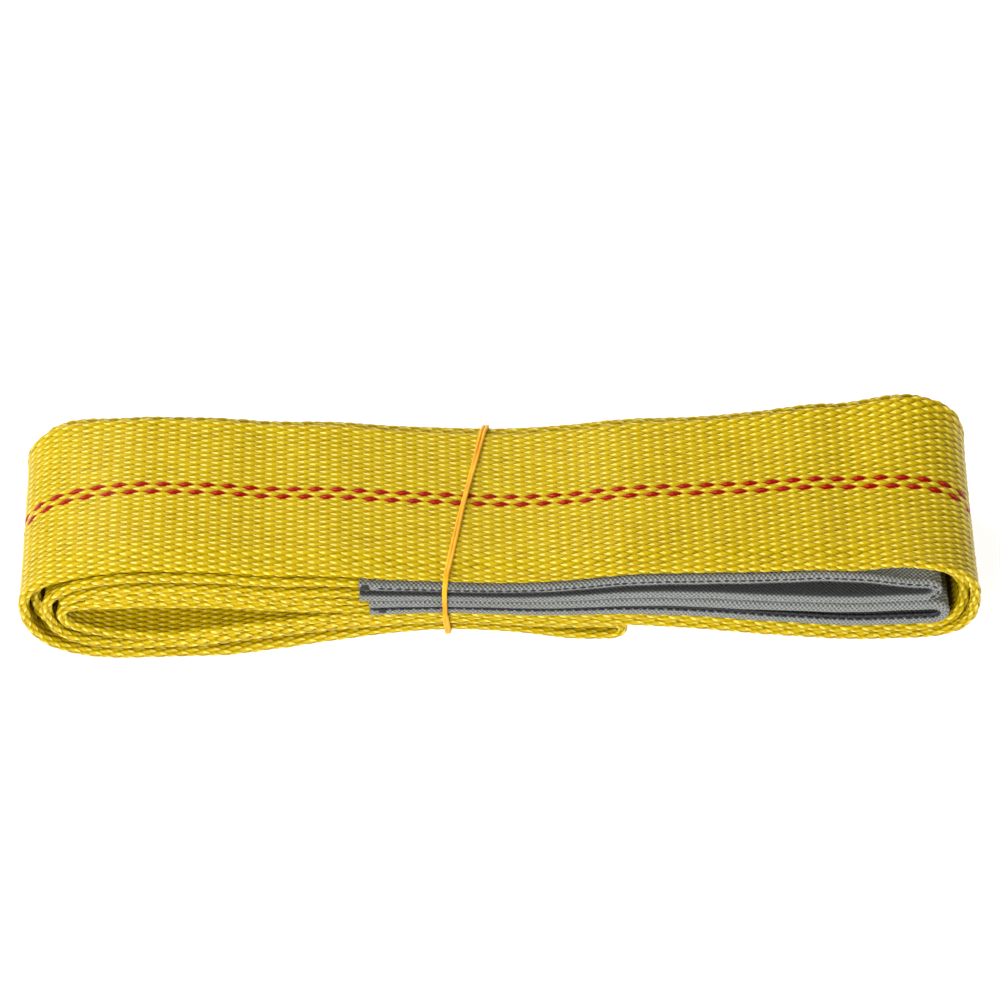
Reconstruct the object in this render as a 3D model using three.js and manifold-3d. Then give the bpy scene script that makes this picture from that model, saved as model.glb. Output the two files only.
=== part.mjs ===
// Flat eye-and-eye web sling, 50 mm wide and about 1.8 metres long. It is folded in half,
// rolled up from its two eyes and held by one rubber band, and it lies flat on the floor.
// Millimetres, +Z up. X runs along the bundle and the near edges of the web face -Y.
import * as THREE from 'three';
import Module from 'manifold-3d';
import { mergeVertices } from 'three/addons/utils/BufferGeometryUtils.js';

// Web
const web_width = 50;
const web_thickness = 2.1;
const loose_gap = 0.6;
const tight_gap = 0.3;

// Bundle
const bundle_length = 241;
const left_end = -bundle_length / 2;
const right_end = bundle_length / 2;

// The rubber band presses the layers together here
const waist_x = -14;
const press_x = -4;
const press_reach = 36;
const press_share = 0.35;
const gap_closing = 1.6;
const waist_lift = 8.7;

// Underside of the bundle, from each foot to the waist: shares of that way and of the waist's lift
const left_rise = [{ way: 0.31, lift: 0.4 }, { way: 0.65, lift: 0.82 }];
const nose_lift = 0.45;
const right_rise = [{ way: 0.22, lift: 0.3 }, { way: 0.39, lift: 0.66 }, { way: 0.78, lift: 0.76 }];

// Left end: the roll turns down round these two apex heights
const left_turn_length = 30.5;
const left_foot_length = 4;
const left_apex_height = 20.5;
const hollow_height = 9.0;
const hollow_length = 56;
const inner_turn_low_inset = 37.5;
const inner_turn_high_inset = 16.5;
const inner_apex_height = 17.8;
const inner_turn_inset = 10.3;
const upper_turn_layer = 2.25;
const upper_tail_inset = 18.5;
const lower_tail_inset = 23.5;

// Right end
const right_foot_inset = 26.5;
const right_turn_low_inset = 16.5;
const right_turn_high_inset = 32.5;
const right_apex_height = 13;

// How square the bends are: 2 is an ellipse
const round_turn = 2;
const low_turn = 2.2;
const inner_turn = 1.9;
const square_turn = 2.8;
const shoulder_turn = 2.7;

// Eyes and their wear sleeves
const upper_sleeve_length = 144.7;
const lower_sleeve_length = 144.5;
const sleeve_wall = 0.25;
const sleeve_clearance = 0.15;
const sleeve_side_clearance = 0.4;
const sleeve_side_wall = 0.5;
const sleeve_ramp = 28;
const upper_eye_inset = 11;
const lower_eye_inset = 8.8;
const eye_turn_length = 2.9;
const upper_eye_opening = 4.2;
const lower_eye_opening = 1.6;
const eye_opens_inset = 78.5;
const under_eye_opening = 0.3;
const eye_dip = 3.4;
const eye_dips_inset = 42.5;

// Mid-length fold of the sling, under the bundle
const nose_inset = 88.5;
const nose_opening = 1.9;
const nose_turn_length = 3.6;
const nose_opens_before = 30;
const nose_opens_over = 24;

// Sideways drift of each run of web
const eye_drift = -1.5;
const return_drift = -0.5;
const cover_drift = 3.6;

// Rubber band
const band_width = 1.4;
const band_thickness = 1.0;
const band_clearance = 0.3;
const band_x = -8.4;
const band_slant = 0.17;

const run_step = 6;
const turn_steps = 9;
const least_step = 0.05;

// Places worked out from the sizes above
const half = web_thickness / 2;
const turn_pitch = web_thickness + loose_gap;
const left_turn_x = left_end + left_turn_length;
const left_foot_x = left_turn_x + left_foot_length;
const hollow_end_x = left_turn_x + hollow_length;
const inner_turn_low_x = left_end + inner_turn_low_inset;
const inner_turn_high_x = left_end + inner_turn_high_inset;
const right_foot_x = right_end - right_foot_inset;
const right_turn_low_x = right_end - right_turn_low_inset;
const right_turn_high_x = right_end - right_turn_high_inset;
const upper_eye_x = right_end - upper_eye_inset - eye_turn_length;
const lower_eye_x = right_end - lower_eye_inset - eye_turn_length;
const upper_sleeve_x = right_end - upper_eye_inset - upper_sleeve_length;
const lower_sleeve_x = right_end - lower_eye_inset - lower_sleeve_length;
const eye_opens_x = right_end - eye_opens_inset;
const eye_dips_x = right_end - eye_dips_inset;
const nose_x = right_end - nose_inset;
const nose_turn_x = nose_x - nose_turn_length;

const { lerp } = THREE.MathUtils;
const smooth = (u) => THREE.MathUtils.smoothstep(u, 0, 1);
const pressAt = (x) => Math.exp(-(((x - press_x) / press_reach) ** 2));
const thicknessAt = (x) => web_thickness * (1 - press_share * pressAt(x));
const gapAt = (x) => lerp(loose_gap, tight_gap, Math.min(1, gap_closing * pressAt(x)));
const pitchAt = (x) => thicknessAt(x) + gapAt(x);

// A smooth height profile through a few stations, level at both ends
function profile(stations) {
  const slopes = stations.map((here, i) => {
    if (i === 0 || i === stations.length - 1) return 0;
    const [before, after] = [stations[i - 1], stations[i + 1]];
    return (after[1] - before[1]) / (after[0] - before[0]);
  });
  return (x) => {
    if (x <= stations[0][0]) return stations[0][1];
    const last = stations.length - 1;
    if (x >= stations[last][0]) return stations[last][1];
    const i = stations.findIndex((station) => station[0] > x) - 1;
    const span = stations[i + 1][0] - stations[i][0];
    const u = (x - stations[i][0]) / span;
    const rise = stations[i + 1][1] - stations[i][1];
    const bend = 3 * u * u - 2 * u * u * u;
    const leave = (u - 2 * u * u + u * u * u) * span * slopes[i];
    const arrive = (u * u * u - u * u) * span * slopes[i + 1];
    return stations[i][1] + rise * bend + leave + arrive;
  };
}

// Underside of the return run, which the rest of the bundle lies on. Left of the nose,
// two plies lie under it.
const pliesUnder = (x) => (x <= nose_x ? 2 * pitchAt(x) : 0);
const station = (x, lift) => [x, lift * waist_lift + pliesUnder(x)];
const stationFrom = (foot_x) => (rise) => station(lerp(foot_x, waist_x, rise.way), rise.lift);
const returnUnderside = profile([
  station(left_foot_x, 0),
  ...left_rise.map(stationFrom(left_foot_x)),
  station(waist_x, 1),
  station(nose_x, nose_lift),
  ...right_rise.map(stationFrom(right_foot_x)),
  station(right_foot_x, 0),
].sort((a, b) => a[0] - b[0]));

const noseGapAt = (x) => nose_opening * smooth((x - nose_x + nose_opens_before) / nose_opens_over);
const hollowAt = (x) => hollow_height * smooth((hollow_end_x - x) / hollow_length);
const sleeve_reach = sleeve_wall + sleeve_clearance;
const coverAt = (x) => sleeve_reach * smooth((x - upper_sleeve_x + sleeve_ramp) / sleeve_ramp);
const eyeOpenAt = (x) => smooth((x - eye_opens_x) / (right_turn_low_x - eye_opens_x));
const eyeDipAt = (x) => eye_dip * smooth((x - eye_dips_x) / (upper_eye_x - eye_dips_x));

// Centre height of every layer of web at one place along the bundle, from the floor up
function layersAt(x) {
  const pitch = pitchAt(x);
  const cover = coverAt(x);
  const open = eyeOpenAt(x);
  const layer = {};
  layer.return_outer = returnUnderside(x) + thicknessAt(x) / 2;
  layer.under_inner = layer.return_outer - pitch;
  layer.under_outer = layer.under_inner - pitch - noseGapAt(x);
  layer.return_inner = layer.return_outer + pitch;
  layer.lower_body = layer.return_inner + pitch + cover + hollowAt(x) + under_eye_opening * open;
  layer.lower_tail = layer.lower_body + pitch + 2 * cover + lower_eye_opening * open;
  layer.upper_tail = layer.lower_tail + pitch + 2 * cover;
  layer.upper_body = layer.upper_tail + pitch + 2 * cover + upper_eye_opening * open - eyeDipAt(x);
  layer.top_inner = layer.upper_body + pitch + cover;
  layer.top_outer = layer.top_inner + pitch;
  return layer;
}

// Places along a run: its two ends, and shared stations between them
function stationsBetween(from, to) {
  const [low, high] = [Math.min(from, to), Math.max(from, to)];
  const list = [low];
  for (let x = Math.ceil((low + 1) / run_step) * run_step; x < high - 1; x += run_step) list.push(x);
  list.push(high);
  return from < to ? list : list.reverse();
}

// One run of a layer, between two places along the bundle
function run(name, from, to, driftFrom, driftTo) {
  return stationsBetween(from, to).map((x) => {
    const share = (x - from) / (to - from);
    return { x, z: layersAt(x)[name], drift: lerp(driftFrom, driftTo, share) };
  });
}

// Quarter turn that leaves a level run and comes upright at the apex of a bend
function quarter(level, apex, squareness) {
  const points = [];
  for (let i = 1; i <= turn_steps; i++) {
    const angle = (i / turn_steps) * (Math.PI / 2);
    const out = Math.sin(angle) ** (2 / squareness);
    const up = i === turn_steps ? 0 : Math.cos(angle) ** (2 / squareness);
    const drift = lerp(level.drift, apex.drift, i / turn_steps);
    points.push({ x: level.x + (apex.x - level.x) * out, z: apex.z + (level.z - apex.z) * up, drift });
  }
  return points;
}

function turn(start, apex, end, squareStart = round_turn, squareEnd = round_turn) {
  const middle = { ...apex, drift: (start.drift + end.drift) / 2 };
  return [...quarter(start, middle, squareStart), ...quarter(end, middle, squareEnd).reverse().slice(1)];
}

const first = (points) => points[0];
const last = (points) => points[points.length - 1];

// Runs, named by the layer that they are in
const upperTail = run('upper_tail', left_turn_x, upper_eye_x, eye_drift, eye_drift);
const upperBody = run('upper_body', upper_eye_x, left_turn_x, eye_drift, eye_drift);
const returnOuter = run('return_outer', left_turn_x, right_turn_low_x, eye_drift, return_drift);
const topOuter = run('top_outer', right_turn_high_x, left_turn_x, 0, 0);
const underOuter = run('under_outer', left_turn_x, nose_turn_x, 0, 0);
const underInner = run('under_inner', nose_turn_x, left_turn_x, 0, cover_drift);
const topInner = run('top_inner', left_turn_x, right_turn_high_x, cover_drift, cover_drift);
const returnInner = run('return_inner', right_turn_low_x, inner_turn_low_x, return_drift, eye_drift);
const lowerBody = run('lower_body', inner_turn_high_x, lower_eye_x, eye_drift, eye_drift);
const lowerTail = run('lower_tail', lower_eye_x, left_turn_x, eye_drift, eye_drift);

// Bends at the left end, one inside the other
const leftApex = (layer) => ({ x: left_end + half + layer * turn_pitch, z: left_apex_height });
const innerApex = { x: left_end + inner_turn_inset, z: inner_apex_height };
const outerLeftTurn = turn(last(topOuter), leftApex(0), first(underOuter), round_turn, low_turn);
const coverLeftTurn = turn(last(underInner), leftApex(1), first(topInner), low_turn, round_turn);
const upperApex = leftApex(upper_turn_layer);
const upperLeftTurn = turn(last(upperBody), upperApex, first(returnOuter), round_turn, low_turn);
const lowerLeftTurn = turn(last(returnInner), innerApex, first(lowerBody), inner_turn, low_turn);

// Bends at the right end
const rightApex = (layer) => ({ x: right_end - half - layer * turn_pitch, z: right_apex_height });
const outerRightTurn = turn(last(returnOuter), rightApex(0), first(topOuter), square_turn, shoulder_turn);
const coverRightTurn = turn(last(topInner), rightApex(1), first(returnInner), shoulder_turn, square_turn);

// Bearing ends of the two eyes, and the mid-length fold
const between = (a, b, x) => ({ x, z: (a.z + b.z) / 2 });
const upperEyeApex = between(last(upperTail), first(upperBody), right_end - upper_eye_inset);
const lowerEyeApex = between(last(lowerBody), first(lowerTail), right_end - lower_eye_inset);
const noseApex = between(last(underOuter), first(underInner), nose_x - half);
const upperEyeTurn = turn(last(upperTail), upperEyeApex, first(upperBody));
const lowerEyeTurn = turn(last(lowerBody), lowerEyeApex, first(lowerTail));
const noseTurn = turn(last(underOuter), noseApex, first(underInner));

// Cut tails, curving down a little inside the upper bend
function tailEnd(joint, end_x, layer) {
  const apex = leftApex(layer);
  const shareAt = (x) => (joint.x - x) / (joint.x - apex.x);
  const heightAt = (x) => apex.z + (joint.z - apex.z) * Math.sqrt(1 - shareAt(x) ** 2);
  return stationsBetween(joint.x, end_x).slice(1).map((x) => ({ x, z: heightAt(x), drift: joint.drift }));
}
const upperTailEnd = tailEnd(first(upperTail), left_end + upper_tail_inset, upper_turn_layer + 1).reverse();
const lowerTailEnd = tailEnd(last(lowerTail), left_end + lower_tail_inset, upper_turn_layer + 2);

// The whole web from one cut end to the other
const webPath = [
  ...upperTailEnd, ...upperTail, ...upperEyeTurn, ...upperBody, ...upperLeftTurn, ...returnOuter,
  ...outerRightTurn, ...topOuter, ...outerLeftTurn, ...underOuter, ...noseTurn, ...underInner,
  ...coverLeftTurn, ...topInner, ...coverRightTurn, ...returnInner, ...lowerLeftTurn, ...lowerBody,
  ...lowerEyeTurn, ...lowerTail, ...lowerTailEnd,
];

// Points that fall together where two runs meet are kept once
function tidyPath(points) {
  return points.filter((point, i) => {
    const before = points[i - 1];
    return i === 0 || Math.hypot(point.x - before.x, point.z - before.z) > least_step;
  });
}

// A band along a path: its side outline is drawn in X and Z and carried across the width
function ribbon(points, width, extra) {
  const path = tidyPath(points);
  const left = [];
  const right = [];
  path.forEach((point, i) => {
    const before = path[Math.max(0, i - 1)];
    const after = path[Math.min(path.length - 1, i + 1)];
    const length = Math.hypot(after.x - before.x, after.z - before.z);
    const reach = thicknessAt(point.x) / 2 + extra;
    const nx = (-(after.z - before.z) / length) * reach;
    const nz = ((after.x - before.x) / length) * reach;
    left.push({ x: point.x + nx, z: point.z + nz, drift: point.drift });
    right.push({ x: point.x - nx, z: point.z - nz, drift: point.drift });
  });
  const outline = [...left, ...right.reverse()];
  const key = (x, z) => `${Math.fround(x)} ${Math.fround(z)}`;
  const drifts = new Map(outline.map((corner) => [key(corner.x, corner.z), corner.drift]));
  const shape = new THREE.Shape(outline.map((corner) => new THREE.Vector2(corner.x, corner.z)));
  const geometry = new THREE.ExtrudeGeometry(shape, { depth: width, bevelEnabled: false });
  const position = geometry.getAttribute('position');
  for (let i = 0; i < position.count; i++) {
    const [x, z] = [position.getX(i), position.getY(i)];
    const across = width / 2 - position.getZ(i);
    position.setXYZ(i, x, drifts.get(key(x, z)) + across, z);
  }
  geometry.computeVertexNormals();
  return geometry;
}

// Booleans
const wasm = await Module();
wasm.setup();

function toSolid(geometry) {
  const bare = geometry.clone();
  bare.deleteAttribute('normal');
  bare.deleteAttribute('uv');
  const merged = mergeVertices(bare);
  const vertProperties = new Float32Array(merged.getAttribute('position').array);
  const triVerts = new Uint32Array(merged.getIndex().array);
  return new wasm.Manifold(new wasm.Mesh({ numProp: 3, vertProperties, triVerts }));
}

function toGeometry(solid) {
  const mesh = solid.getMesh();
  const geometry = new THREE.BufferGeometry();
  geometry.setAttribute('position', new THREE.BufferAttribute(mesh.vertProperties, 3));
  geometry.setIndex(new THREE.BufferAttribute(mesh.triVerts, 1));
  geometry.computeVertexNormals();
  return geometry;
}

// Materials
const yellow_web = new THREE.MeshStandardMaterial({ color: 0xd9b81c, roughness: 0.62, metalness: 0 });
const grey_fabric = new THREE.MeshStandardMaterial({ color: 0x7d8280, roughness: 0.85, metalness: 0 });
const amber_rubber = new THREE.MeshStandardMaterial({ color: 0xe0a437, roughness: 0.45, metalness: 0 });

const sling = new THREE.Group();

function addPiece(name, geometry, material) {
  const mesh = new THREE.Mesh(geometry, material);
  mesh.name = name;
  sling.add(mesh);
}

// Sling web, one continuous length
addPiece('sling_web', ribbon(webPath, web_width, 0), yellow_web);

// Wear sleeves: fabric all round the web of each eye, from one leg round the bearing end to the other
function eyePath(into, turnPoints, out, eye_x, start_x) {
  const legIn = run(into, start_x, eye_x, eye_drift, eye_drift);
  const legOut = run(out, eye_x, start_x, eye_drift, eye_drift);
  return [...legIn, ...turnPoints, ...legOut];
}

function sleeve(into, turnPoints, out, eye_x, start_x) {
  const inner_width = web_width + 2 * sleeve_side_clearance;
  const outer_width = inner_width + 2 * sleeve_side_wall;
  const cover = eyePath(into, turnPoints, out, eye_x, start_x);
  const hollow = eyePath(into, turnPoints, out, eye_x, start_x - run_step / 2);
  const body = toSolid(ribbon(cover, outer_width, sleeve_reach));
  return toGeometry(body.subtract(toSolid(ribbon(hollow, inner_width, sleeve_clearance))));
}

addPiece('eye_sleeve_upper', sleeve('upper_tail', upperEyeTurn, 'upper_body', upper_eye_x, upper_sleeve_x),
  grey_fabric);
addPiece('eye_sleeve_lower', sleeve('lower_body', lowerEyeTurn, 'lower_tail', lower_eye_x, lower_sleeve_x),
  grey_fabric);

// Rubber band: a closed loop stretched round the bundle at a slant
function bandCorners() {
  const bandAt = (y) => band_x + band_slant * y;
  const edge = web_width / 2;
  const far_edge = edge + cover_drift;
  const near_edge = edge - eye_drift + sleeve_side_clearance + sleeve_side_wall;
  const corner = (y, name, side, extra) => {
    const x = bandAt(y);
    return [y, layersAt(x)[name] + side * (thicknessAt(x) / 2 + extra)];
  };
  return [
    corner(-near_edge, 'lower_body', -1, sleeve_reach),
    corner(-edge, 'under_outer', -1, 0),
    corner(edge, 'under_outer', -1, 0),
    corner(far_edge, 'under_inner', -1, 0),
    corner(far_edge, 'top_inner', 1, 0),
    corner(edge, 'top_outer', 1, 0),
    corner(-edge, 'top_outer', 1, 0),
    corner(-near_edge, 'upper_body', 1, sleeve_reach),
  ];
}

// Convex outline set off from its corners, with round corners
function setOff(outline, corners, distance) {
  const heading = (a, b) => Math.atan2(b[1] - a[1], b[0] - a[0]) - Math.PI / 2;
  corners.forEach((corner, i) => {
    const before = corners[(i + corners.length - 1) % corners.length];
    const after = corners[(i + 1) % corners.length];
    const from = heading(before, corner);
    let to = heading(corner, after);
    if (to < from) to += 2 * Math.PI;
    outline.absarc(corner[0], corner[1], distance, from, to, false);
  });
  return outline;
}

const band = setOff(new THREE.Shape(), bandCorners(), band_clearance + band_thickness);
band.holes.push(setOff(new THREE.Path(), bandCorners(), band_clearance));
const bandShape = { depth: band_width, bevelEnabled: false, curveSegments: 4 };
const bandGeometry = new THREE.ExtrudeGeometry(band, bandShape);
bandGeometry.translate(0, 0, -band_width / 2);
bandGeometry.applyMatrix4(new THREE.Matrix4().set(
  band_slant, 0, 1, band_x,
  1, 0, 0, 0,
  0, 1, 0, 0,
  0, 0, 0, 1,
));
addPiece('rubber_band', bandGeometry, amber_rubber);

// The origin is on the floor, under the middle of the bundle
const extent = new THREE.Box3().setFromObject(sling);
const middle = extent.getCenter(new THREE.Vector3());
sling.position.set(-middle.x, -middle.y, -extent.min.z);

export default sling;
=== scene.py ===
# Looks for the folded and banded web sling: woven yellow web with a red tracer, grey wear sleeves
# sewn with black thread, and an amber rubber band. Sizes are in millimetres until a mesh is made.
import math

import bpy
import numpy as np
from mathutils import Euler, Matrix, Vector


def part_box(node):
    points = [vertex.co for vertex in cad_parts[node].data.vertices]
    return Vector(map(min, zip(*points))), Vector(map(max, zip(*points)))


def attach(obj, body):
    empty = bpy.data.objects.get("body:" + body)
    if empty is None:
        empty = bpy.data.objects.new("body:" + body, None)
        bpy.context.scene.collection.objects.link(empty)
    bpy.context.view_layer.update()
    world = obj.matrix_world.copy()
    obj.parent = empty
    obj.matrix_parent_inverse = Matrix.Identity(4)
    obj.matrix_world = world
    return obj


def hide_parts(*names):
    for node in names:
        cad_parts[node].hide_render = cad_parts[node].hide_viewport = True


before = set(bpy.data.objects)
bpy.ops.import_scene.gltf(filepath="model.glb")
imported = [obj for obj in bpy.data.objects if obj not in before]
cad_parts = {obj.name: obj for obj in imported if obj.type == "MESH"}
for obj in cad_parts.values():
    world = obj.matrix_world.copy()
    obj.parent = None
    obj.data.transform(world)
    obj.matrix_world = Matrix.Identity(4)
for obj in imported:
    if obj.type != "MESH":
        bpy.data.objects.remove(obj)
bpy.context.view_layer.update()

MM = 0.001

# Web, as in the part's source
WEB_WIDTH = 50.0
WEB_THICKNESS = 2.1
LOOSE_GAP = 0.6
TIGHT_GAP = 0.3

# Bundle
BUNDLE_LENGTH = 241.0
LEFT_END = -BUNDLE_LENGTH / 2
RIGHT_END = BUNDLE_LENGTH / 2

# Waist under the rubber band. The rises are stations of the underside between a foot and the waist, each
# as a share of the way and a share of the lift
WAIST_X = -14.0
PRESS_X = -4.0
PRESS_REACH = 36.0
PRESS_SHARE = 0.35
GAP_CLOSING = 1.6
WAIST_LIFT = 8.7
LEFT_RISE = ((0.31, 0.32), (0.65, 0.76))
NOSE_LIFT = 0.45
RIGHT_RISE = ((0.22, 0.3), (0.39, 0.66), (0.78, 0.76))

# Left end
LEFT_TURN_X = LEFT_END + 30.5
LEFT_FOOT_X = LEFT_TURN_X + 4.0
LEFT_APEX_HEIGHT = 20.5
HOLLOW_HEIGHT = 9.7
HOLLOW_LENGTH = 56.0
HOLLOW_END_X = LEFT_TURN_X + HOLLOW_LENGTH
INNER_TURN_LOW_X = LEFT_END + 37.5
INNER_TURN_HIGH_X = LEFT_END + 16.5
INNER_APEX_HEIGHT = 17.8
INNER_TURN_INSET = 10.3
UPPER_TURN_LAYER = 2.25
UPPER_TAIL_X = LEFT_END + 11.0
LOWER_TAIL_X = LEFT_END + 17.0

# Right end
RIGHT_FOOT_X = RIGHT_END - 26.5
RIGHT_TURN_LOW_X = RIGHT_END - 16.5
RIGHT_TURN_HIGH_X = RIGHT_END - 32.5
RIGHT_APEX_HEIGHT = 13.0

# How square the bends are: 2 is an ellipse
ROUND_TURN = 2.0
LOW_TURN = 2.6
INNER_TURN = 1.9
SQUARE_TURN = 2.8
SHOULDER_TURN = 2.7

# Eyes and their wear sleeves
SLEEVE_WALL = 0.25
SLEEVE_CLEARANCE = 0.15
SLEEVE_REACH = SLEEVE_WALL + SLEEVE_CLEARANCE
SLEEVE_RAMP = 28.0
UPPER_EYE_INSET = 11.0
LOWER_EYE_INSET = 8.8
EYE_TURN_LENGTH = 2.9
UPPER_EYE_X = RIGHT_END - UPPER_EYE_INSET - EYE_TURN_LENGTH
LOWER_EYE_X = RIGHT_END - LOWER_EYE_INSET - EYE_TURN_LENGTH
UPPER_SLEEVE_X = RIGHT_END - UPPER_EYE_INSET - 144.7
LOWER_SLEEVE_X = RIGHT_END - LOWER_EYE_INSET - 144.5
UPPER_EYE_OPENING = 4.2
LOWER_EYE_OPENING = 1.6
EYE_OPENS_X = RIGHT_END - 78.5
UNDER_EYE_OPENING = 0.3
EYE_DIP = 3.4
EYE_DIPS_X = RIGHT_END - 42.5

# Mid-length fold
NOSE_X = RIGHT_END - 88.5
NOSE_OPENING = 1.9
NOSE_TURN_X = NOSE_X - 3.6
NOSE_OPENS_BEFORE = 30.0
NOSE_OPENS_OVER = 24.0

# Sideways drift of each run of web
OUTER_DRIFT = 0.0
EYE_DRIFT = -1.5
EYE_END_DRIFT = -0.2
RETURN_DRIFT = -0.8
COVER_DRIFT = 3.6
COVER_END_DRIFT = 4.1

HALF = WEB_THICKNESS / 2
TURN_PITCH = WEB_THICKNESS + LOOSE_GAP
PATH_STEP = 0.1
PATH_SMOOTHING = 0.9
SAME_PLACE = 1e-6
TURN_SAMPLES = 200
TAIL_SAMPLES = 60

# Weave: each warp yarn floats over the web and dives under it, half a period out of step with the next
FLOAT_PERIOD = 5.5
FACE_ROWS = 56
RIM_ROWS = 4
FAR_RIM = FACE_ROWS
BACK_FACE = FACE_ROWS + RIM_ROWS
NEAR_RIM = 2 * FACE_ROWS + RIM_ROWS
ALL_ROWS = 2 * (FACE_ROWS + RIM_ROWS)
FLOAT_SKEW = 0.05
FLOAT_REACH = 0.43
FLOAT_WIDTH = 1.04
FLOAT_TAPER = 1.35
FLOAT_SQUARENESS = 2.2
DIVE_WIDTH = 0.3
FLOAT_LIFT = 0.32
FLOAT_DOME = 0.28
WEAVE_DEPTH = FLOAT_LIFT + FLOAT_DOME
EDGE_LIFT = 0.35
DIVE_DOME = 0.45
FLOAT_JITTER = 0.10
JITTER_LAPS = 512
CROWN_PROUD = 0.05
TRACER_ROWS = (27, 30)

# Columns of points in each woven row, rows passed over in one step elsewhere, and their height of weave
COLUMNS_PER_ROW = 3
COARSE_ROWS = 10
MEAN_CROWN = 0.6

# The rims are a little fuller than the faces
RIM_SWELL = 0.3
RIM_SWELL_FROM = 21.6
RIM_SWELL_OVER = 2.2


def smooth(u):
    u = np.clip(u, 0.0, 1.0)
    return u * u * (3 - 2 * u)


def press_at(x):
    return np.exp(-(((x - PRESS_X) / PRESS_REACH) ** 2))


def thickness_at(x):
    return WEB_THICKNESS * (1 - PRESS_SHARE * press_at(x))


def pitch_at(x):
    closing = np.minimum(1.0, GAP_CLOSING * press_at(x))
    return thickness_at(x) + LOOSE_GAP + (TIGHT_GAP - LOOSE_GAP) * closing


def underside_stations():
    """Height of the return run's underside at a few places, from foot to foot."""

    def station(x, lift):
        plies = 2 * pitch_at(x) if x <= NOSE_X else 0.0
        return x, lift * WAIST_LIFT + plies

    def from_foot(foot_x, rises):
        return [station(foot_x + (WAIST_X - foot_x) * way, lift) for way, lift in rises]

    stations = [
        station(LEFT_FOOT_X, 0.0),
        *from_foot(LEFT_FOOT_X, LEFT_RISE),
        station(WAIST_X, 1.0),
        station(NOSE_X, NOSE_LIFT),
        *from_foot(RIGHT_FOOT_X, RIGHT_RISE),
        station(RIGHT_FOOT_X, 0.0),
    ]
    return np.array(sorted(stations))


UNDERSIDE = underside_stations()


def underside_at(x):
    """Smooth curve through the stations, level at both ends."""
    places, heights = UNDERSIDE.T
    slopes = np.zeros(len(places))
    slopes[1:-1] = (heights[2:] - heights[:-2]) / (places[2:] - places[:-2])
    x = np.clip(x, places[0], places[-1])
    i = np.clip(np.searchsorted(places, x, side="right") - 1, 0, len(places) - 2)
    span = places[i + 1] - places[i]
    u = (x - places[i]) / span
    bend = 3 * u**2 - 2 * u**3
    leave = (u - 2 * u**2 + u**3) * span * slopes[i]
    arrive = (u**3 - u**2) * span * slopes[i + 1]
    return heights[i] + (heights[i + 1] - heights[i]) * bend + leave + arrive


def layers_at(x):
    """Centre height of every layer of web at one place along the bundle."""
    x = np.asarray(x, float)
    pitch = pitch_at(x)
    cover = SLEEVE_REACH * smooth((x - UPPER_SLEEVE_X + SLEEVE_RAMP) / SLEEVE_RAMP)
    opening = smooth((x - EYE_OPENS_X) / (RIGHT_TURN_LOW_X - EYE_OPENS_X))
    dip = EYE_DIP * smooth((x - EYE_DIPS_X) / (UPPER_EYE_X - EYE_DIPS_X))
    hollow = HOLLOW_HEIGHT * smooth((HOLLOW_END_X - x) / HOLLOW_LENGTH)
    nose_gap = NOSE_OPENING * smooth((x - NOSE_X + NOSE_OPENS_BEFORE) / NOSE_OPENS_OVER)
    layer = {"return_outer": underside_at(x) + thickness_at(x) / 2}
    layer["under_inner"] = layer["return_outer"] - pitch
    layer["under_outer"] = layer["under_inner"] - pitch - nose_gap
    layer["return_inner"] = layer["return_outer"] + pitch
    layer["lower_body"] = layer["return_inner"] + pitch + cover + hollow + UNDER_EYE_OPENING * opening
    layer["lower_tail"] = layer["lower_body"] + pitch + 2 * cover + LOWER_EYE_OPENING * opening
    layer["upper_tail"] = layer["lower_tail"] + pitch + 2 * cover
    layer["upper_body"] = layer["upper_tail"] + pitch + 2 * cover + UPPER_EYE_OPENING * opening - dip
    layer["top_inner"] = layer["upper_body"] + pitch + cover
    layer["top_outer"] = layer["top_inner"] + pitch
    return layer


def run(name, start, end, drift_start, drift_end):
    """One run of a layer, as rows of x, z and drift."""
    count = max(2, round(abs(end - start) / PATH_STEP))
    x = np.linspace(start, end, count)
    return np.stack([x, layers_at(x)[name], np.linspace(drift_start, drift_end, count)], axis=1)


def quarter(level, apex, squareness):
    """Quarter turn that leaves a level run and comes upright at the apex of a bend."""
    share = np.arange(1, TURN_SAMPLES + 1) / TURN_SAMPLES
    out = np.sin(share * np.pi / 2) ** (2 / squareness)
    up = np.clip(np.cos(share * np.pi / 2), 0, 1) ** (2 / squareness)
    x = level[0] + (apex[0] - level[0]) * out
    z = apex[1] + (level[1] - apex[1]) * up
    drift = level[2] + (apex[2] - level[2]) * share
    return np.stack([x, z, drift], axis=1)


def turn(start, apex, end, square_start=ROUND_TURN, square_end=ROUND_TURN):
    middle = np.array([apex[0], apex[1], (start[2] + end[2]) / 2])
    back = quarter(end, middle, square_end)[::-1]
    return np.concatenate([quarter(start, middle, square_start), back[1:]])


def left_apex(layer):
    return LEFT_END + HALF + layer * TURN_PITCH, LEFT_APEX_HEIGHT


def right_apex(layer):
    return RIGHT_END - HALF - layer * TURN_PITCH, RIGHT_APEX_HEIGHT


def between(a, b, x):
    """Apex of a bend at x, midway in height between the ends of two runs."""
    return x, (a[1] + b[1]) / 2


def tail_end(joint, end_x, layer):
    """Cut tail, curving down a little inside the upper bend."""
    apex = left_apex(layer)
    x = np.linspace(joint[0], end_x, TAIL_SAMPLES)[1:]
    share = (joint[0] - x) / (joint[0] - apex[0])
    z = apex[1] + (joint[1] - apex[1]) * np.sqrt(1 - share**2)
    return np.stack([x, z, np.full(len(x), joint[2])], axis=1)


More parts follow.
